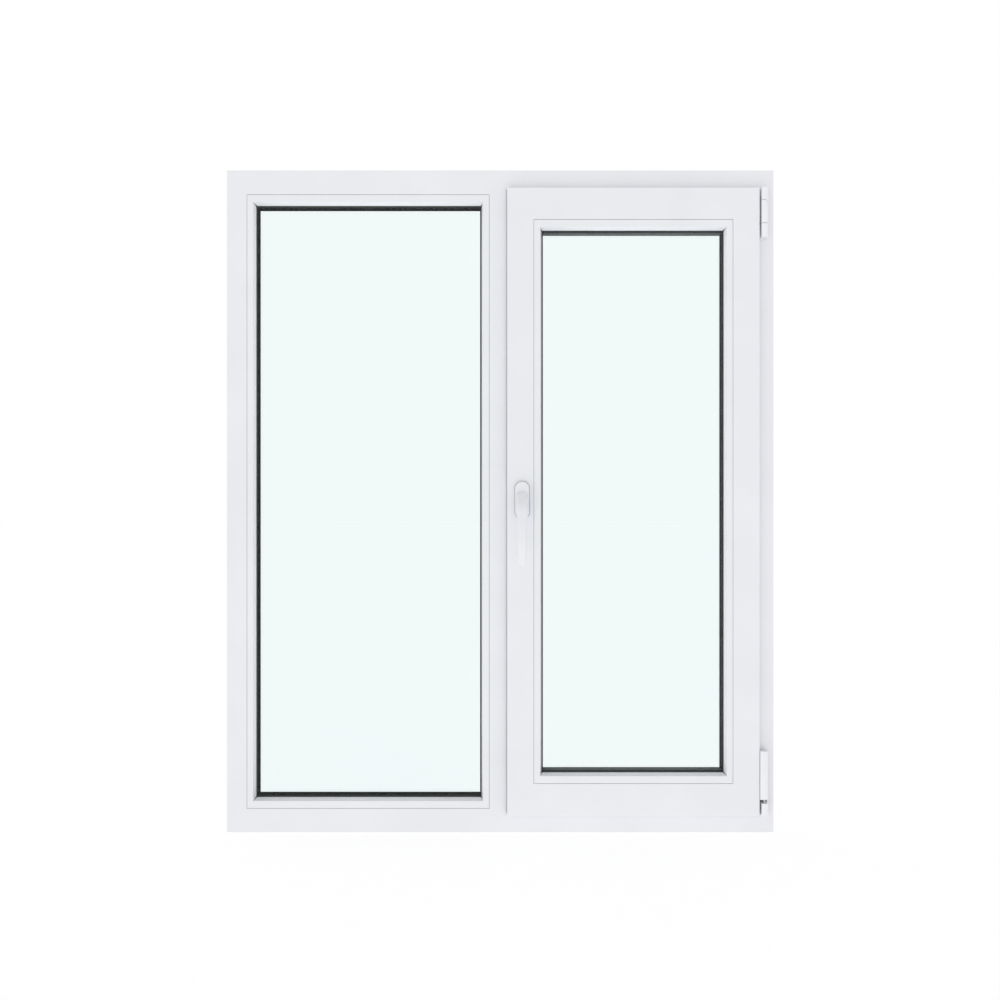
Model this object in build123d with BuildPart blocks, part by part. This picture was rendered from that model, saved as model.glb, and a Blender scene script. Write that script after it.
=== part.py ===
"""PVC window seen from the room: a fixed light on the left, a tilt-and-turn sash on the right.

The frame is four mitred lengths round a mullion, the sash is four mitred lengths behind a lip that
laps the frame, and both lights hold a double-glazed unit between an outer gasket and clipped beads.
X runs to the right, Z up and Y from the room to the outside. The origin is the middle of the
frame's underside.
"""

import os
from collections import namedtuple
from math import cos, radians, sin

from build123d import *

# Overall size
window_width = 1090.0
window_height = 1320.0

# Sizes across a face are those of the upright members. Head, sill and rails are the same section,
# this much wider across the face.
rail_ratio = 1.2

# Walls of the extruded sections
wall_thickness = 2.8
web_thickness = 1.6
chamber_rows = 3

# Outer frame and mullion
frame_face = 39.9
mullion_face = 42.8
stop_height = 17.2
stop_thickness = 18.0
stop_bevel = 5.0
edge_round = 1.5

# Grooves along the frame's perimeter, for clip-on wall profiles
clip_groove_width = 7.0
clip_groove_depth = 3.0
clip_groove_inset = 12.0

# Sash. It hangs a little towards its hinges.
sash_face = 52.7
overlap = 8.3
overlap_gap = 2.5
hinge_side_shift = 0.6
lip_thickness = 14.0
lip_round = 1.2
rebate_air = 10.0
stop_seal_gap = 4.5
leg_height = 17.6
leg_bevel = 4.0
hardware_groove_width = 16.0
hardware_groove_depth = 8.0
hardware_groove_inset = 9.0

# Glazing beads, clipped into a groove in the rebate
bead_width = 15.75
bead_flat = 12.55
bead_depth = 17.0
bead_round = 2.0
bead_joint = 0.5
bead_mitre_opening = 2.0
bead_foot = 3.0
bead_foot_thickness = 4.0
bead_foot_inset = 9.0
bead_clearance = 0.3
bead_wall = 1.6

# Double-glazed units and their gaskets
pane_thickness = 4.0
cavity = 20.0
glass_clearance = 5.0
glass_seam = 0.5
spacer_sight = 18.9
spacer_inset = 0.5
inner_gasket_thickness = 4.0
inner_gasket_lip = 3.1
outer_gasket_thickness = 3.0
outer_gasket_lip = 1.3
gasket_edge = 0.8
gasket_root = 7.0

# Seals between sash and frame. The lip's seal stands out a little along the lock stile.
seal_width = 4.0
seal_inset = 0.8
seal_taper = 0.8
lip_seal_shift = 1.3

# Handle, on the lock stile. Its lever comes straight out of the rosette, slopes down from an elbow to
# a bend, and bows outwards along the grip.
handle_edge_distance = 29.8
handle_height = 663.0
rosette_width = 29.0
rosette_height = 75.0
rosette_thickness = 11.0
rosette_taper = 8.0
rosette_bevel = 1.2
pad_thickness = 0.6
pad_edge = 0.35
neck_diameter = 18.0
neck_clearance = 0.3
lever_reach = 126.0
lever_rise = 15.5
lever_top_width = 22.0
lever_tip_width = 14.5
lever_tip_thickness = 9.0
lever_bevel = 3.2
neck_length = 28.0
elbow_straight = 1.0
elbow_crown = 3.0
elbow_radius = 20.0
elbow_turn = 42.0
slope_length = 22.0
bend_radius = 44.0
bend_turn = 32.0
grip_turn = 24.0
grip_middle = 70.0
grip_thickness = 10.5
grip_back_radius = 9.0
spindle_side = 7.0
spindle_length = 30.0
spindle_bore = 12.0

# Hinges, beside the hinge stile
hinge_gap = 3.5
hinge_width = 13.0
hinge_proud = 3.0
hinge_ridge = 4.8
hinge_ridge_drop = 3.5
hinge_round = 0.8
hinge_pin_diameter = 4.0
hinge_pin_clearance = 0.3
hinge_joint = 0.8
hinge_slant = 6.5
leaf_thickness = 3.0
leaf_clearance = 0.3
arm_thickness = 1.5
arm_height = 30.0
top_upper_length = 25.0
top_sash_length = 46.0
top_lower_length = 27.5
bottom_bearing_length = 24.0
bottom_gap = 8.0
bottom_band_length = 95.5
band_gap = 0.6

# Drain slots and their caps, on the outside of the sill
drain_spacing = 260.0
drain_height = 20.0
drain_slot_length = 28.0
drain_slot_height = 5.0
drain_slot_depth = 10.0
drain_cap_length = 42.0
drain_cap_height = 13.0
drain_cap_thickness = 5.0
drain_cap_slope = 3.5
drain_clearance = 0.3

# Depths that follow: the glazing stack sets the rebates, and they set the members' depths.
glass_seat = bead_depth + inner_gasket_thickness
unit_thickness = 2 * pane_thickness + cavity
rebate_depth = glass_seat + unit_thickness + outer_gasket_thickness
frame_depth = rebate_depth + stop_thickness
sash_proud = overlap_gap + lip_thickness
sash_depth = sash_proud + rebate_depth - stop_seal_gap
sash_body_start = overlap + rebate_air
frame_room_face = -frame_depth / 2
sash_room_face = frame_room_face - sash_proud
bead_groove_depth = bead_foot + bead_clearance

os.makedirs("parts", exist_ok=True)

# A ring of members: its outline in X and Z, and the Y of its room face
Ring = namedtuple("Ring", "left right bottom top face")

frame_ring = Ring(-window_width / 2, window_width / 2, 0.0, window_height, frame_room_face)
sash_ring = Ring(
    mullion_face / 2 - overlap + hinge_side_shift,
    window_width / 2 - frame_face + overlap + hinge_side_shift,
    (frame_face - overlap) * rail_ratio,
    window_height - (frame_face - overlap) * rail_ratio,
    sash_room_face,
)
fixed_light = Ring(
    -window_width / 2 + frame_face,
    -mullion_face / 2,
    frame_face * rail_ratio,
    window_height - frame_face * rail_ratio,
    frame_room_face,
)
sash_light = Ring(
    sash_ring.left + sash_face,
    sash_ring.right - sash_face,
    sash_ring.bottom + sash_face * rail_ratio,
    sash_ring.top - sash_face * rail_ratio,
    sash_room_face,
)

SIDES = ("left", "right", "bottom", "top")


def write(part, label):
    """Names a finished piece and writes it to its own file."""
    part.label = label
    export_step(part, f"parts/{label}.step")


# Straight members


def seat(ring, side):
    """Where a member of a ring is drawn: its plane, with x across the face and y through the depth,
    its length, and how much its section is widened."""
    middle_x = (ring.left + ring.right) / 2
    middle_z = (ring.bottom + ring.top) / 2
    inward, along, start = {
        "left": ((1, 0, 0), (0, 0, 1), (ring.left, ring.face, middle_z)),
        "right": ((-1, 0, 0), (0, 0, -1), (ring.right, ring.face, middle_z)),
        "bottom": ((0, 0, 1), (-1, 0, 0), (middle_x, ring.face, ring.bottom)),
        "top": ((0, 0, -1), (1, 0, 0), (middle_x, ring.face, ring.top)),
    }[side]
    upright = side in ("left", "right")
    length = ring.top - ring.bottom if upright else ring.right - ring.left
    return Plane(start, x_dir=inward, z_dir=along), length, 1.0 if upright else rail_ratio


def mitre(plane, length, widening, end, pivot=0.0, lean=0.0):
    """The plane that cuts one end of a member, along the line through the ring's corners. It may lean
    in further from a pivot on that line."""
    slope = rail_ratio / widening**2
    on_line = plane.from_local_coords(Vector(pivot, 0, end * (length / 2 - slope * pivot)))
    outward = plane.from_local_coords(Vector(slope + lean, 0, end)) - plane.origin
    return Plane(on_line, z_dir=outward)


def member(ring, side, section):
    """One length of a ring, mitred at both ends."""
    plane, length, widening = seat(ring, side)
    with BuildPart() as bar:
        with BuildSketch(plane):
            add(section(widening))
        extrude(amount=length / 2, both=True)
        for end in (-1, 1):
            split(bisect_by=mitre(plane, length, widening, end), keep=Keep.BOTTOM)
    return bar.part


def closed_ring(ring, section):
    """All four lengths of a ring in one piece, as a gasket is."""
    with BuildPart() as loop:
        for side in SIDES:
            add(member(ring, side, section))
    return loop.part


# Sections, drawn with x across the face and y through the depth


def cut_band(across, deep):
    """Cuts the rectangle between two pairs of limits out of the section being drawn."""
    with Locations(((across[0] + across[1]) / 2, (deep[0] + deep[1]) / 2)):
        Rectangle(across[1] - across[0], deep[1] - deep[0], mode=Mode.SUBTRACT)


def cut_chambers(across, depth):
    """Cuts a row of equal chambers through a section of the given depth, with webs between them."""
    size = (depth - 2 * wall_thickness - (chamber_rows - 1) * web_thickness) / chamber_rows
    for row in range(chamber_rows):
        start = wall_thickness + row * (size + web_thickness)
        cut_band(across, (start, start + size))


def bead_groove(rebate):
    """The groove in a rebate's floor that takes the foot of the glazing bead."""
    near = bead_foot_inset - bead_clearance
    far = bead_foot_inset + bead_foot_thickness + bead_clearance
    return (rebate - bead_groove_depth, rebate), (near, far)


def frame_outline(widening):
    """L-shaped outline of the frame: the body towards the room, the stop at the outside."""
    rebate = frame_face * widening
    stop = (frame_face + stop_height) * widening
    with BuildSketch() as section:
        with BuildLine():
            Polyline(
                (0, 0),
                (rebate, 0),
                (rebate, rebate_depth),
                (stop, rebate_depth),
                (stop - stop_bevel * widening, frame_depth),
                (0, frame_depth),
                close=True,
            )
        make_face()
    return section.sketch


def frame_section(widening):
    """The frame's outline with rounded edges, the bead's groove, the clip grooves along the
    perimeter and the chambers. The rebate stays square, flush with the mullion's end."""
    rebate = frame_face * widening
    near_groove = (clip_groove_inset, clip_groove_inset + clip_groove_width)
    far_groove = tuple(frame_depth - limit for limit in reversed(near_groove))
    inner_wall = rebate - bead_groove_depth - wall_thickness
    stop_wall = (frame_face + stop_height - stop_bevel) * widening - wall_thickness
    with BuildSketch() as section:
        add(frame_outline(widening))
        fillet([v for v in section.vertices() if abs(v.X - rebate) > edge_round], edge_round)
        cut_band(*bead_groove(rebate))
        for groove in (near_groove, far_groove):
            cut_band((0, clip_groove_depth), groove)
        cut_chambers((clip_groove_depth + wall_thickness, inner_wall), frame_depth)
        cut_band(
            (inner_wall + web_thickness, stop_wall),
            (rebate_depth + wall_thickness, frame_depth - wall_thickness),
        )
    return section.sketch


def sash_section(widening):
    """Z-shaped sash section: the lip that laps the frame, the body with the hardware groove, and
    the leg behind the glass, all chambered."""
    body = sash_body_start * widening
    rebate = sash_face * widening
    leg = (sash_face + leg_height) * widening
    groove_start = lip_thickness + hardware_groove_inset
    groove_end = body + hardware_groove_depth
    inner_wall = rebate - bead_groove_depth - wall_thickness
    with BuildSketch() as section:
        with BuildLine():
            Polyline(
                (0, 0),
                (rebate, 0),
                (rebate, rebate_depth),
                (leg, rebate_depth),
                (leg - leg_bevel * widening, sash_depth),
                (body, sash_depth),
                (body, lip_thickness),
                (0, lip_thickness),
                close=True,
            )
        make_face()
        fillet(section.vertices().sort_by_distance((0, 0))[0], lip_round)
        leg_edges = [v for v in section.vertices() if v.Y > rebate_depth + edge_round]
        fillet(leg_edges, edge_round)
        cut_band(*bead_groove(rebate))
        cut_band((body, groove_end), (groove_start, groove_start + hardware_groove_width))
        cut_chambers((groove_end + wall_thickness, inner_wall), sash_depth)
        cut_band(
            (wall_thickness, groove_end + wall_thickness - web_thickness),
            (wall_thickness, lip_thickness - wall_thickness),
        )
        cut_band(
            (inner_wall + web_thickness, leg - leg_bevel * widening - wall_thickness),
            (rebate_depth + wall_thickness, sash_depth - wall_thickness),
        )
    return section.sketch


def bead_section(widening):
    """Glazing bead: a flat face, a steep slope down to the gasket, a foot in the groove and one
    chamber."""
    start = bead_joint * widening
    flat = bead_flat * widening
    foot_end = bead_foot_inset + bead_foot_thickness
    with BuildSketch() as section:
        with BuildLine():
            Polyline(
                (start, 0),
                (flat, 0),
                (bead_width * widening, bead_depth),
                (start, bead_depth),
                (start, foot_end),
                (-bead_foot, foot_end),
                (-bead_foot, bead_foot_inset),
                (start, bead_foot_inset),
                close=True,
            )
        make_face()
        face_corners = section.vertices().group_by(Axis.Y)[0].sort_by(Axis.X)
        fillet(face_corners[0], edge_round / 2)
        fillet(face_corners[-1], bead_round)
        cut_band((start + bead_wall, flat - bead_wall), (bead_wall, bead_depth - bead_wall))
    return section.sketch


def inner_gasket_section(widening):
    """Room-side glazing gasket: a flat root under the bead and a sloping lip against the glass."""
    tip = (bead_width + inner_gasket_lip) * widening
    with BuildSketch() as section:
        with BuildLine():
            Polyline(
                (gasket_root * widening, bead_depth),
                (bead_width * widening, bead_depth),
                (tip, glass_seat - gasket_edge),
                (tip, glass_seat),
                (gasket_root * widening, glass_seat),
                close=True,
            )
        make_face()
    return section.sketch


def outer_gasket_section(height):
    """Outside glazing gasket, between the outer pane and a stop of the given height."""

    def draw(widening):
        pane_face = glass_seat + unit_thickness
        tip = (height + outer_gasket_lip) * widening
        with BuildSketch() as section:
            with BuildLine():
                Polyline(
                    (gasket_root * widening, pane_face),
                    (tip, pane_face),
                    (tip, pane_face + gasket_edge),
                    (height * widening - edge_round, rebate_depth),
                    (gasket_root * widening, rebate_depth),
                    close=True,
                )
            make_face()
        return section.sketch

    return draw


def seal_section(start, depth, thickness):
    """Seal strip across a gap of the given thickness: a broad root that narrows to its tip."""

    def draw(widening):
        root = (start * widening, (start + seal_width) * widening)
        tip = (root[0] + seal_taper * widening, root[1] - seal_taper * widening)
        with BuildSketch() as section:
            with BuildLine():
                Polyline(
                    (root[0], depth),
                    (root[1], depth),
                    (tip[1], depth + thickness),
                    (tip[0], depth + thickness),
                    close=True,
                )
            make_face()
        return section.sketch

    return draw


# Outer frame: four welded lengths, with drain slots through the outside of the sill

drain_places = [
    ((light.left + light.right) / 2 + side * drain_spacing / 2, drain_height)
    for light in (fixed_light, sash_light)
    for side in (-1, 1)
]
sill_outside = Plane((0, frame_depth / 2, 0), x_dir=(-1, 0, 0), z_dir=(0, 1, 0))
drain_spots = [(-x, z) for x, z in drain_places]

with BuildPart() as sill:
    add(member(frame_ring, "bottom", frame_section))
    with BuildSketch(sill_outside):
        with Locations(drain_spots):
            Rectangle(drain_slot_length, drain_slot_height)
    extrude(amount=-drain_slot_depth, mode=Mode.SUBTRACT)

write(sill.part, "frame_sill")
write(member(frame_ring, "top", frame_section), "frame_head")
write(member(frame_ring, "left", frame_section), "frame_left_jamb")
write(member(frame_ring, "right", frame_section), "frame_right_jamb")

# Drain caps: a hood over each slot and a tongue in it

with BuildPart() as drain_caps:
    with BuildSketch(sill_outside):
        with Locations(drain_spots):
            Rectangle(
                drain_slot_length - 2 * drain_clearance,
                drain_slot_height - 2 * drain_clearance,
            )
    extrude(amount=-drain_slot_depth)
    for place_x, place_z in drain_places:
        hood_plane = Plane((place_x, frame_depth / 2, place_z), x_dir=(0, 1, 0), z_dir=(1, 0, 0))
        with BuildSketch(hood_plane):
            with BuildLine():
                Polyline(
                    (0, -drain_cap_height / 2),
                    (drain_cap_thickness, -drain_cap_height / 2),
                    (drain_cap_thickness, drain_cap_height / 2 - drain_cap_slope),
                    (0, drain_cap_height / 2),
                    close=True,
                )
            make_face()
        extrude(amount=drain_cap_length / 2, both=True)
write(drain_caps.part, "drain_caps")

# Mullion: a T section whose ends are milled to the head and the sill

mullion_blank_end = frame_face * rail_ratio / 2
mullion_plane = Plane((0, frame_room_face, mullion_blank_end), x_dir=(1, 0, 0), z_dir=(0, 0, 1))
half_face = mullion_face / 2
half_stop = half_face + stop_height
half_chamber = half_face - bead_groove_depth - wall_thickness

with BuildPart() as mullion:
    with BuildSketch(mullion_plane) as mullion_section:
        with BuildLine():
            Polyline(
                (-half_face, 0),
                (half_face, 0),
                (half_face, rebate_depth),
                (half_stop, rebate_depth),
                (half_stop - stop_bevel, frame_depth),
                (-half_stop + stop_bevel, frame_depth),
                (-half_stop, rebate_depth),
                (-half_face, rebate_depth),
                close=True,
            )
        make_face()
        fillet([v for v in mullion_section.vertices() if abs(v.X) > half_face + edge_round], edge_round)
        groove_across, groove_deep = bead_groove(half_face)
        stop_across = (half_chamber + web_thickness, half_stop - stop_bevel - wall_thickness)
        stop_deep = (rebate_depth + wall_thickness, frame_depth - wall_thickness)
        for across, deep in ((groove_across, groove_deep), (stop_across, stop_deep)):
            cut_band(across, deep)
            cut_band((-across[1], -across[0]), deep)
        cut_chambers((-half_chamber, half_chamber), frame_depth)
    extrude(amount=window_height - 2 * mullion_blank_end)
    for end in ("bottom", "top"):
        add(member(frame_ring, end, frame_outline), mode=Mode.SUBTRACT)
write(mullion.part, "mullion")

# Sash: four welded lengths, with the handle's bore through the room face of the lock stile

handle_x = sash_ring.left + handle_edge_distance
handle_plane = Plane(
    (handle_x, sash_room_face, handle_height), x_dir=(1, 0, 0), z_dir=(0, -1, 0)
)

with BuildPart() as lock_stile:
    add(member(sash_ring, "left", sash_section))
    with BuildSketch(handle_plane):
        Circle(spindle_bore / 2)
    extrude(amount=-spindle_length - neck_clearance, mode=Mode.SUBTRACT)

write(lock_stile.part, "sash_lock_stile")
write(member(sash_ring, "right", sash_section), "sash_hinge_stile")
write(member(sash_ring, "bottom", sash_section), "sash_bottom_rail")
write(member(sash_ring, "top", sash_section), "sash_top_rail")

# Seals of the sash: one behind its lip, one against the frame's stop

lip_seal_ring = sash_ring._replace(
    left=sash_ring.left - lip_seal_shift, right=sash_ring.right - lip_seal_shift
)
overlap_seal = seal_section(seal_inset, lip_thickness, overlap_gap)
stop_seal = seal_section(sash_body_start + seal_inset, sash_depth, stop_seal_gap)
write(closed_ring(lip_seal_ring, overlap_seal), "sash_overlap_seal")
write(closed_ring(sash_ring, stop_seal), "sash_stop_seal")

# Glazing of both lights


def inset(light, distance):
    """Width and height of a light's opening, this far inside the bead line."""
    width = light.right - light.left - 2 * distance
    height = light.top - light.bottom - 2 * distance * rail_ratio
    return width, height


def glazing_plane(light, depth):
    """The plane across a light, this far behind its room face, facing the outside."""
    middle = ((light.left + light.right) / 2, light.face + depth, (light.bottom + light.top) / 2)
    return Plane(middle, x_dir=(-1, 0, 0), z_dir=(0, 1, 0))


def pane(light, depth):
    """One sheet of glass with its edges seamed."""
    with BuildPart() as sheet:
        with BuildSketch(glazing_plane(light, depth)):
            Rectangle(*inset(light, glass_clearance))
        extrude(amount=pane_thickness)
        chamfer(sheet.edges(), glass_seam)
    return sheet.part


def spacer(light):
    """The edge seal between the panes: a ring as deep as the cavity."""
    with BuildPart() as ring:
        with BuildSketch(glazing_plane(light, glass_seat + pane_thickness)):
            Rectangle(*inset(light, glass_clearance + spacer_inset))
            Rectangle(*inset(light, spacer_sight), mode=Mode.SUBTRACT)
        extrude(amount=cavity)
    return ring.part


def bead(light, side):
    """One glazing bead. Beyond its flat face its mitres open towards the glass."""
    plane, length, widening = seat(light, side)
    pivot = bead_flat * widening
    lean = bead_mitre_opening / (bead_width * widening - pivot)
    with BuildPart() as bar:
        add(member(light, side, bead_section))
        for end in (-1, 1):
            split(bisect_by=mitre(plane, length, widening, end, pivot, lean), keep=Keep.BOTTOM)
    return bar.part


for prefix, light, stop in (
    ("fixed_light", fixed_light, stop_height),
    ("sash", sash_light, leg_height),
):
    for side in SIDES:
        write(bead(light, side), f"{prefix}_{side}_bead")
    write(pane(light, glass_seat), f"{prefix}_inner_pane")
    write(pane(light, glass_seat + pane_thickness + cavity), f"{prefix}_outer_pane")
    write(spacer(light), f"{prefix}_spacer")
    write(closed_ring(light, inner_gasket_section), f"{prefix}_inner_gasket")
    write(closed_ring(light, outer_gasket_section(stop)), f"{prefix}_outer_gasket")

# Handle: a thin pad on the stile, the rosette, the lever and its square spindle

rosette_plane = handle_plane.offset(pad_thickness)

with BuildPart() as pad:
    with BuildSketch(handle_plane):
        SlotOverall(rosette_height + 2 * pad_edge, rosette_width + 2 * pad_edge, rotation=90)
        Circle(neck_diameter / 2 + neck_clearance, mode=Mode.SUBTRACT)
    extrude(amount=pad_thickness)
write(pad.part, "handle_pad")

with BuildPart() as rosette:
    with BuildSketch(rosette_plane):
        SlotOverall(rosette_height, rosette_width, rotation=90)
    extrude(amount=rosette_thickness, taper=rosette_taper)
    chamfer(rosette.edges().group_by(Axis.Y)[0], rosette_bevel)
    with BuildSketch(rosette_plane):
        Circle(neck_diameter / 2 + neck_clearance)
    extrude(amount=rosette_thickness, mode=Mode.SUBTRACT)
write(rosette.part, "handle_rosette")

# The lever's side view is cut to its tapered front view, its front edges are bevelled, and the neck
# is added. The grip's arc ends at the lever's full reach.
elbow_start = pad_thickness + rosette_thickness + neck_clearance
elbow_top = lever_rise + elbow_crown
grip_start = elbow_turn + bend_turn
elbow_drop = elbow_radius * (1 - cos(radians(elbow_turn)))
slope_drop = slope_length * sin(radians(elbow_turn))
bend_drop = bend_radius * (cos(radians(elbow_turn)) - cos(radians(grip_start)))
grip_drop = lever_reach + elbow_top - elbow_drop - slope_drop - bend_drop
grip_radius = grip_drop / (cos(radians(grip_start)) - cos(radians(grip_start + grip_turn)))
neck_under = -neck_diameter / 2 - neck_clearance
lever_side = Plane(handle_plane.origin, x_dir=(0, -1, 0), z_dir=(-1, 0, 0))

with BuildPart() as lever:
    with BuildSketch(lever_side):
        with BuildLine():
            top = Line((elbow_start, elbow_top), (elbow_start + elbow_straight, elbow_top))
            elbow = JernArc(top @ 1, top % 1, elbow_radius, -elbow_turn)
            slope = Line(elbow @ 1, elbow @ 1 + (elbow % 1) * slope_length)
            bend = JernArc(slope @ 1, slope % 1, bend_radius, -bend_turn)
            grip = JernArc(bend @ 1, bend % 1, grip_radius, -grip_turn)
            grip_front = (grip @ 0.5).X
            back = FilletPolyline(
                grip @ 1 - Vector(lever_tip_thickness, 0),
                (grip_front - grip_thickness, -grip_middle),
                (elbow_start + neck_length, neck_under),
                (elbow_start, neck_under),
                radius=grip_back_radius,
            )
            Line(grip @ 1, back @ 0)
            Line(back @ 1, top @ 0)
        make_face()
    extrude(amount=lever_top_width, both=True)
    with BuildSketch(handle_plane):
        with Locations((0, lever_rise - lever_top_width / 2)):
            Circle(lever_top_width / 2)
        with Locations((0, -lever_reach + lever_tip_width / 2)):
            Circle(lever_tip_width / 2)
        make_hull()
    extrude(amount=lever_reach, mode=Mode.INTERSECT)
    front = lever.faces().filter_by(lambda face: face.normal_at().Y < -0.3)
    chamfer(front.edges().filter_by(Axis.X, reverse=True), lever_bevel)
    with BuildSketch(handle_plane.offset(neck_clearance)):
        Circle(neck_diameter / 2)
    extrude(amount=elbow_start + elbow_straight)
write(lever.part, "handle_lever")

with BuildPart() as spindle:
    with BuildSketch(handle_plane.offset(neck_clearance)):
        Rectangle(spindle_side, spindle_side)
    extrude(amount=-spindle_length)
write(spindle.part, "handle_spindle")

# Hinges: covered knuckles on a pin, in front of a leaf on the frame's face. An arm joins each knuckle
# of the sash to the edge of the sash's lip.

hinge_left = sash_ring.right + hinge_gap
hinge_front = sash_room_face - hinge_proud
hinge_back = frame_room_face - leaf_thickness
hinge_axis_x = hinge_left + hinge_width / 2
hinge_axis_y = (hinge_front + hinge_back) / 2


def knuckle(low, high, left=hinge_left, low_slant=0.0, high_slant=0.0):
    """One covered knuckle between two heights, bored for the pin. Its front has a ridge, and beyond
    the ridge its ends may slant down."""
    right = hinge_left + hinge_width
    ridge = right - hinge_ridge
    with BuildPart() as cover:
        with BuildSketch(Plane((0, 0, low - low_slant))) as section:
            with BuildLine():
                Polyline(
                    (left, hinge_front),
                    (ridge, hinge_front),
                    (right, hinge_front + hinge_ridge_drop),
                    (right, hinge_back),
                    (left, hinge_back),
                    close=True,
                )
            make_face()
            fillet(section.vertices().group_by(Axis.Y)[0], hinge_round)
        extrude(amount=high - low + low_slant)
        with BuildSketch(Plane((0, hinge_front, 0), x_dir=(1, 0, 0), z_dir=(0, -1, 0))):
            with BuildLine():
                Polyline(
                    (left, low),
                    (ridge, low),
                    (right, low - low_slant),
                    (right, high - high_slant),
                    (ridge, high),
                    (left, high),
                    close=True,
                )
            make_face()
        extrude(amount=hinge_front - frame_room_face, mode=Mode.INTERSECT)
        with BuildSketch(Plane((hinge_axis_x, hinge_axis_y, low - low_slant))):
            Circle(hinge_pin_diameter / 2 + hinge_pin_clearance)
        extrude(amount=high - low + low_slant, mode=Mode.SUBTRACT)
    return cover.part


def pin(low, high):
    """A hinge pin between two heights."""
    with BuildPart() as rod:
        with BuildSketch(Plane((hinge_axis_x, hinge_axis_y, low))):
            Circle(hinge_pin_diameter / 2)
        extrude(amount=high - low)
    return rod.part


def leaf(low, high):
    """The plate on the frame's face behind a hinge, which reaches under the gap to the sash."""
    reach = hinge_gap - leaf_clearance
    with BuildPart() as plate:
        with BuildSketch(Plane((0, frame_room_face, 0), x_dir=(1, 0, 0), z_dir=(0, -1, 0))):
            with Locations((hinge_left + (hinge_width - reach) / 2, (low + high) / 2)):
                Rectangle(hinge_width + reach, high - low)
        extrude(amount=leaf_thickness)
    return plate.part


def arm(middle, left):
    """The strip between a knuckle's side and the edge of the sash's lip."""
    with BuildPart() as strip:
        lip_edge = Plane((sash_ring.right, hinge_back, middle), x_dir=(0, 1, 0), z_dir=(1, 0, 0))
        with BuildSketch(lip_edge):
            with Locations((-arm_thickness / 2, 0)):
                Rectangle(arm_thickness, arm_height)
        extrude(amount=left - sash_ring.right)
    return strip.part


top_upper = sash_ring.top - top_upper_length
top_middle = top_upper - top_sash_length
top_bottom = top_middle - top_lower_length
write(
    knuckle(top_upper + hinge_joint, sash_ring.top, low_slant=hinge_slant),
    "top_hinge_upper_knuckle",
)
write(
    knuckle(top_middle + hinge_joint, top_upper, high_slant=hinge_slant),
    "top_hinge_sash_knuckle",
)
write(knuckle(top_bottom, top_middle), "top_hinge_lower_knuckle")
write(pin(top_bottom + hinge_joint, sash_ring.top - hinge_joint), "top_hinge_pin")
write(leaf(top_bottom, sash_ring.top), "top_hinge_leaf")
write(arm((top_upper + top_middle) / 2, hinge_left), "top_hinge_arm")

bearing_top = sash_ring.bottom + bottom_bearing_length
band_bottom = bearing_top + bottom_gap
band_top = band_bottom + bottom_band_length
band_left = sash_ring.right + band_gap
write(knuckle(sash_ring.bottom, bearing_top), "bottom_hinge_bearing")
write(knuckle(band_bottom, band_top, left=band_left), "bottom_hinge_band")
write(pin(sash_ring.bottom + hinge_joint, band_top - hinge_joint), "bottom_hinge_pin")
write(leaf(sash_ring.bottom, band_bottom), "bottom_hinge_leaf")
write(arm((band_bottom + band_top) / 2, band_left), "bottom_hinge_arm")
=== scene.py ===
"""Looks of the PVC window: materials for every CAD piece, a white studio and the photograph's camera."""

import bpy
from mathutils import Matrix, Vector

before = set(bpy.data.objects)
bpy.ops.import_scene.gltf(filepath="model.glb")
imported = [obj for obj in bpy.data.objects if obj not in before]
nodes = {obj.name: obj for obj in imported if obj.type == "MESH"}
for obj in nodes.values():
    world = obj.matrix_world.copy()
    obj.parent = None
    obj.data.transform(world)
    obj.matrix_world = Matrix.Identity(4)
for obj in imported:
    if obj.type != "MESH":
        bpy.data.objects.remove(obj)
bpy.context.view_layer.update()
scene = bpy.context.scene

WHITE = (1, 1, 1, 1)

# Most values of a noise texture lie between these two
NOISE_LOW = 0.3
NOISE_HIGH = 0.7

# Colours of the materials, each as its darkest and its lightest shade
PVC_COLOURS = (0.80, 0.809, 0.841), (0.83, 0.839, 0.871)
HINGE_COLOURS = (0.825, 0.836, 0.870), (0.855, 0.866, 0.900)
GASKET_COLOURS = (0.029, 0.031, 0.031), (0.035, 0.037, 0.037)
SPACER_BLACKS = (0.0080, 0.0088, 0.0092), (0.0098, 0.0106, 0.0110)
SPACER_GREYS = (0.118, 0.124, 0.124), (0.130, 0.136, 0.136)
# The bottom hinge's plate is a real part, but its grey is painted shade for the hinge's gap
PLATE_SHADE_COLOURS = (0.185, 0.188, 0.192), (0.200, 0.203, 0.208)
ZINC_COLOURS = (0.42, 0.43, 0.44), (0.60, 0.61, 0.62)
GLASS_COLOURS = (0.936, 0.9745, 0.9725), (0.940, 0.9765, 0.9745)

# What glass mirrors, and what it lets through to other surfaces
GLASS_MIRROR = (0.35, 0.35, 0.35, 1)
GLASS_CLEAR = (0.98, 0.995, 0.995, 1)

# Stretch of the die's lines, for members along each axis
DIE_LINES = {"x": (4, 700, 700), "z": (700, 700, 4)}
STEEL_GRAIN = (300, 300, 40)
BUMP_DISTANCE = 0.0001

# Painted shade: the spacer's side that faces the lock stile loses this share of its colour.
# The loss fades out between these two values of the normal's X.
SPACER_PAINTED_SHADE = 0.76
FACING_LEFT = -0.9
FACING_ASIDE = -0.5

# The room's light: its level, the direction it is stronger from, and what is added on one side only
LIGHT_LEVEL = 1.020
LIGHT_LEAN = (-0.08, -0.05, -0.17)
LIGHT_ADDED = {"Y": 0.22, "Z": -0.25}

# Floor, in metres
FLOOR_SIZE = 30.0
FLOOR_DROP = 0.0005
FLOOR_COLOUR = (0.25, 0.25, 0.25, 1)
FLOOR_GLOW = 0.803

# Camera, in metres, with its sensor and lens in millimetres
CAMERA_PLACE = (-0.0003, -2.4326, 0.6630)
SENSOR_WIDTH = 36.0
LENS = 43.3


# Node helpers


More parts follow.
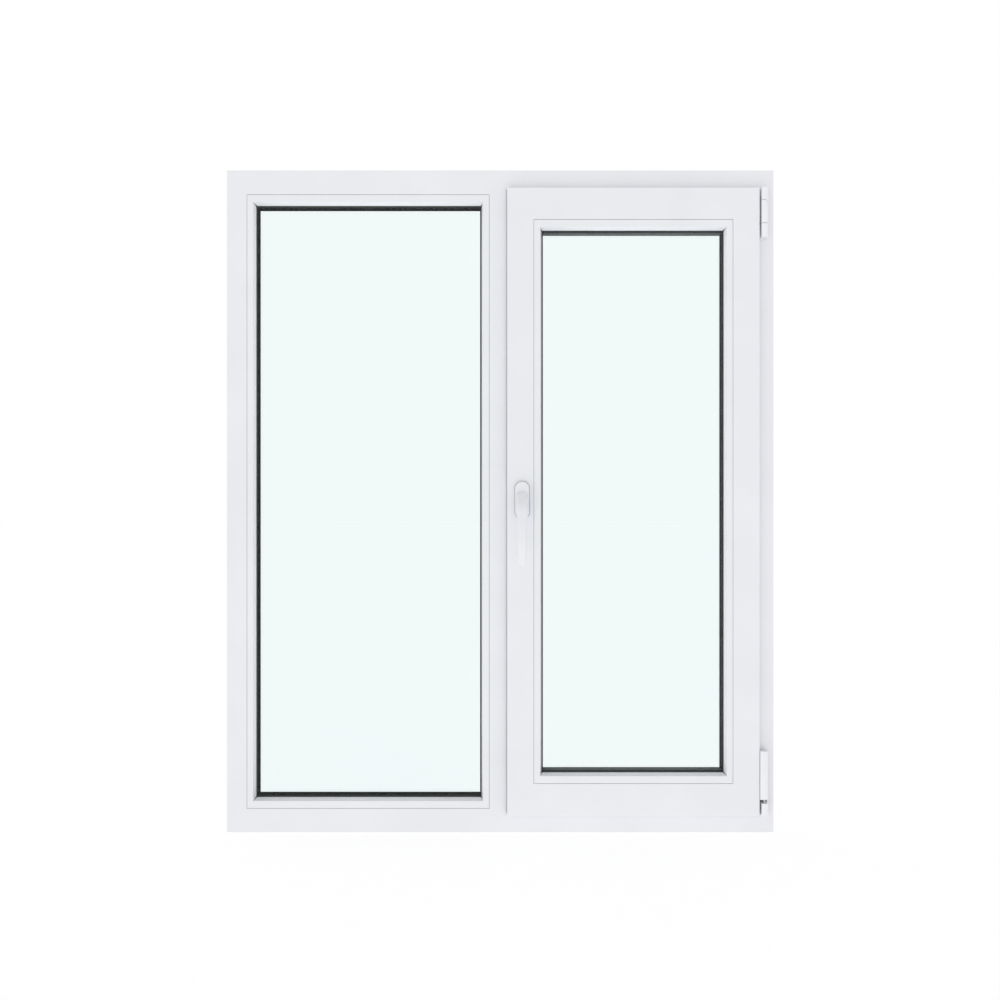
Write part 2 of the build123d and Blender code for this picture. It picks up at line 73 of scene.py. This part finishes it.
def new_material(name):
    """A material with a Principled shader, and its node tree."""
    material = bpy.data.materials.new(name)
    material.use_nodes = True
    tree = material.node_tree
    return material, tree, tree.nodes["Principled BSDF"]


def coordinates(tree, scale=(1, 1, 1)):
    """Object coordinates, in metres, stretched by a scale for each axis."""
    texture = tree.nodes.new("ShaderNodeTexCoord")
    mapping = tree.nodes.new("ShaderNodeMapping")
    mapping.inputs["Scale"].default_value = scale
    tree.links.new(texture.outputs["Object"], mapping.inputs["Vector"])
    return mapping.outputs["Vector"]


def noise(tree, vector, scale, detail):
    """A noise value at each point."""
    node = tree.nodes.new("ShaderNodeTexNoise")
    node.inputs["Scale"].default_value = scale
    node.inputs["Detail"].default_value = detail
    tree.links.new(vector, node.inputs["Vector"])
    return node.outputs["Fac"]


def between(tree, value, low, high, start=NOISE_LOW, end=NOISE_HIGH):
    """A value spread over a new range."""
    node = tree.nodes.new("ShaderNodeMapRange")
    node.inputs["From Min"].default_value = start
    node.inputs["From Max"].default_value = end
    node.inputs["To Min"].default_value = low
    node.inputs["To Max"].default_value = high
    tree.links.new(value, node.inputs["Value"])
    return node.outputs["Result"]


def shades(tree, value, dark, light):
    """A colour between two shades."""
    node = tree.nodes.new("ShaderNodeValToRGB")
    node.color_ramp.elements[0].position = NOISE_LOW
    node.color_ramp.elements[0].color = (*dark, 1)
    node.color_ramp.elements[1].position = NOISE_HIGH
    node.color_ramp.elements[1].color = (*light, 1)
    tree.links.new(value, node.inputs["Fac"])
    return node.outputs["Color"]


def bump(tree, height, strength):
    """A bump from a height value."""
    node = tree.nodes.new("ShaderNodeBump")
    node.inputs["Strength"].default_value = strength
    node.inputs["Distance"].default_value = BUMP_DISTANCE
    tree.links.new(height, node.inputs["Height"])
    return node.outputs["Normal"]


def calculate(tree, operation, *values):
    """The result of a Math node. Each value is a socket or a number."""
    node = tree.nodes.new("ShaderNodeMath")
    node.operation = operation
    for socket, value in zip(node.inputs, values):
        if isinstance(value, bpy.types.NodeSocket):
            tree.links.new(value, socket)
        else:
            socket.default_value = value
    return node.outputs["Value"]


def any_ray(tree, *kinds):
    """1 for rays of any of these kinds, and otherwise 0."""
    path = tree.nodes.new("ShaderNodeLightPath")
    total = path.outputs[kinds[0]]
    for kind in kinds[1:]:
        total = calculate(tree, "MAXIMUM", total, path.outputs[kind])
    return total


def show_mixed(tree, share, first, second, output):
    """Shows a mix of two shaders: the first where the share is 0, the second where it is 1."""
    mix = tree.nodes.new("ShaderNodeMixShader")
    tree.links.new(share, mix.inputs["Fac"])
    tree.links.new(first, mix.inputs[1])
    tree.links.new(second, mix.inputs[2])
    tree.links.new(mix.outputs["Shader"], tree.nodes[output].inputs["Surface"])


# Materials


def pvc(name, along):
    """White extruded PVC: satin, with faint lines from the die along the length."""
    material, tree, shader = new_material(name)
    lines = noise(tree, coordinates(tree, DIE_LINES[along]), 1.0, 3.0)
    cloud = noise(tree, coordinates(tree), 9.0, 4.0)
    tree.links.new(shades(tree, cloud, *PVC_COLOURS), shader.inputs["Base Color"])
    tree.links.new(between(tree, lines, 0.30, 0.40), shader.inputs["Roughness"])
    tree.links.new(bump(tree, lines, 0.06), shader.inputs["Normal"])
    shader.inputs["Specular IOR Level"].default_value = 0.35
    return material


def skinned(name, colours, grain, mottle, roughness, relief, gloss):
    """A moulded or coated surface: slightly mottled, with a fine skin."""
    material, tree, shader = new_material(name)
    skin = noise(tree, coordinates(tree), grain, 2.0)
    cloud = noise(tree, coordinates(tree), mottle, 3.0)
    tree.links.new(shades(tree, cloud, *colours), shader.inputs["Base Color"])
    tree.links.new(between(tree, skin, *roughness), shader.inputs["Roughness"])
    tree.links.new(bump(tree, skin, relief), shader.inputs["Normal"])
    shader.inputs["Specular IOR Level"].default_value = gloss
    return material


def moulded(name, colours, roughness, grain):
    """White moulded or powder-coated hardware."""
    return skinned(name, colours, grain, 30.0, roughness, 0.08, 0.5)


def matt(name, colours, gloss):
    """Gasket rubber, spacer plastic, or a plate whose grey is painted shade."""
    return skinned(name, colours, 1800.0, 60.0, (0.5, 0.7), 0.06, gloss)


def paint_shade_facing_left(material, share):
    """Painted shade: takes this share of the colour off the surfaces that face the lock side."""
    tree = material.node_tree
    base = tree.nodes["Principled BSDF"].inputs["Base Color"]
    geometry = tree.nodes.new("ShaderNodeNewGeometry")
    axes = tree.nodes.new("ShaderNodeSeparateXYZ")
    tree.links.new(geometry.outputs["True Normal"], axes.inputs["Vector"])
    keep = between(tree, axes.outputs["X"], 1.0 - share, 1.0, FACING_LEFT, FACING_ASIDE)
    darker = tree.nodes.new("ShaderNodeVectorMath")
    darker.operation = "SCALE"
    tree.links.new(base.links[0].from_socket, darker.inputs["Vector"])
    tree.links.new(keep, darker.inputs["Scale"])
    tree.links.new(darker.outputs["Vector"], base)


def glass(name):
    """Clear float glass, faintly green. The room's light passes straight through."""
    material, tree, shader = new_material(name)
    cloud = noise(tree, coordinates(tree), 3.0, 1.0)
    tree.links.new(shades(tree, cloud, *GLASS_COLOURS), shader.inputs["Base Color"])
    shader.inputs["Transmission Weight"].default_value = 1.0
    shader.inputs["IOR"].default_value = 1.45
    shader.inputs["Specular Tint"].default_value = GLASS_MIRROR
    shader.inputs["Roughness"].default_value = 0.0
    clear = tree.nodes.new("ShaderNodeBsdfTransparent")
    clear.inputs["Color"].default_value = GLASS_CLEAR
    straight = any_ray(tree, "Is Shadow Ray", "Is Diffuse Ray")
    show_mixed(tree, straight, shader.outputs["BSDF"], clear.outputs["BSDF"], "Material Output")
    return material


def steel(name):
    """Zinc-plated steel: dull metal with a fine grain."""
    material, tree, shader = new_material(name)
    grain = noise(tree, coordinates(tree, STEEL_GRAIN), 4.0, 3.0)
    tree.links.new(shades(tree, grain, *ZINC_COLOURS), shader.inputs["Base Color"])
    tree.links.new(between(tree, grain, 0.28, 0.45), shader.inputs["Roughness"])
    shader.inputs["Metallic"].default_value = 1.0
    return material


pvc_upright = pvc("pvc_upright", "z")
pvc_level = pvc("pvc_level", "x")
hinge_white = moulded("hinge_cover_white", HINGE_COLOURS, (0.26, 0.34), 1500.0)
handle_white = moulded("handle_white", PVC_COLOURS, (0.25, 0.36), 900.0)
gasket_black = matt("gasket_black", GASKET_COLOURS, 0.3)
spacer_black = matt("spacer_black", SPACER_BLACKS, 0.0)
spacer_grey = matt("spacer_grey", SPACER_GREYS, 0.0)
# Painted shade: the sash spacer's sides that face the lock stile are made darker
paint_shade_facing_left(spacer_grey, SPACER_PAINTED_SHADE)
# Painted shade: this grey stands in for the shade in the gap beside and under the bottom hinge
plate_painted_shade = matt("plate_painted_shade", PLATE_SHADE_COLOURS, 0.2)
float_glass = glass("float_glass")
zinc = steel("zinc_plated_steel")


def material_for(name):
    """The material of a CAD node, by its name."""
    if name.endswith("_pane"):
        return float_glass
    if name.endswith("_spacer"):
        return spacer_grey if name.startswith("sash") else spacer_black
    if name.endswith(("_gasket", "_seal", "_pad")):
        return gasket_black
    if name.endswith(("_pin", "_arm", "_spindle")):
        return zinc
    # Painted shade: the plate's grey stands in for the shade in the bottom hinge's gap
    if name == "bottom_hinge_leaf":
        return plate_painted_shade
    if name.startswith("handle_"):
        return handle_white
    if name.startswith(("top_hinge", "bottom_hinge")):
        return hinge_white
    if any(word in name for word in ("head", "sill", "rail", "top_bead", "bottom_bead", "drain")):
        return pvc_level
    return pvc_upright


for name, node in nodes.items():
    node.data.materials.clear()
    node.data.materials.append(material_for(name))


# Studio: a white surround, brighter from below as in the photograph, and a pale floor


def set_world():
    """The room's light: weaker from above, stronger from behind, from below and from the left.

    Rays that show the surround itself, straight, mirrored or through glass, find plain white.
    """
    world = bpy.data.worlds.new("studio")
    scene.world = world
    world.use_nodes = True
    tree = world.node_tree
    direction = tree.nodes.new("ShaderNodeTexCoord").outputs["Generated"]
    lean = tree.nodes.new("ShaderNodeVectorMath")
    lean.operation = "DOT_PRODUCT"
    lean.inputs[1].default_value = LIGHT_LEAN
    tree.links.new(direction, lean.inputs[0])
    strength = calculate(tree, "ADD", lean.outputs["Value"], LIGHT_LEVEL)
    axes = tree.nodes.new("ShaderNodeSeparateXYZ")
    tree.links.new(direction, axes.inputs["Vector"])
    for axis, share in LIGHT_ADDED.items():
        one_side = calculate(tree, "MAXIMUM", axes.outputs[axis], 0.0)
        strength = calculate(tree, "MULTIPLY_ADD", one_side, share, strength)
    light = tree.nodes["Background"]
    light.inputs["Color"].default_value = WHITE
    tree.links.new(strength, light.inputs["Strength"])
    plain = tree.nodes.new("ShaderNodeBackground")
    plain.inputs["Color"].default_value = WHITE
    plain.inputs["Strength"].default_value = 1.0
    seen = any_ray(tree, "Is Camera Ray", "Is Glossy Ray", "Is Transmission Ray")
    show_mixed(tree, seen, light.outputs["Background"], plain.outputs["Background"], "World Output")


def make_floor():
    """A pale floor. It shows the window's shadow and lets the light from below pass."""
    size = FLOOR_SIZE
    corners = [(-size, -size, 0), (size, -size, 0), (size, size, 0), (-size, size, 0)]
    mesh = bpy.data.meshes.new("floor")
    mesh.from_pydata(corners, [], [(0, 1, 2, 3)])
    floor = bpy.data.objects.new("floor", mesh)
    floor.location.z = -FLOOR_DROP
    scene.collection.objects.link(floor)
    material, _, shader = new_material("floor_pale")
    shader.inputs["Base Color"].default_value = FLOOR_COLOUR
    shader.inputs["Roughness"].default_value = 1.0
    shader.inputs["Specular IOR Level"].default_value = 0.0
    shader.inputs["Emission Color"].default_value = WHITE
    shader.inputs["Emission Strength"].default_value = FLOOR_GLOW
    mesh.materials.append(material)
    floor.visible_diffuse = False
    floor.visible_shadow = False


def make_camera():
    """The photograph's view: level, straight on, not quite two and a half metres away."""
    data = bpy.data.cameras.new("camera")
    data.sensor_width = SENSOR_WIDTH
    data.lens = LENS
    camera = bpy.data.objects.new("camera", data)
    camera.location = CAMERA_PLACE
    camera.rotation_euler = Vector((0, 1, 0)).to_track_quat("-Z", "Y").to_euler()
    scene.collection.objects.link(camera)
    scene.camera = camera


set_world()
make_floor()
make_camera()
scene.view_settings.view_transform = "Standard"
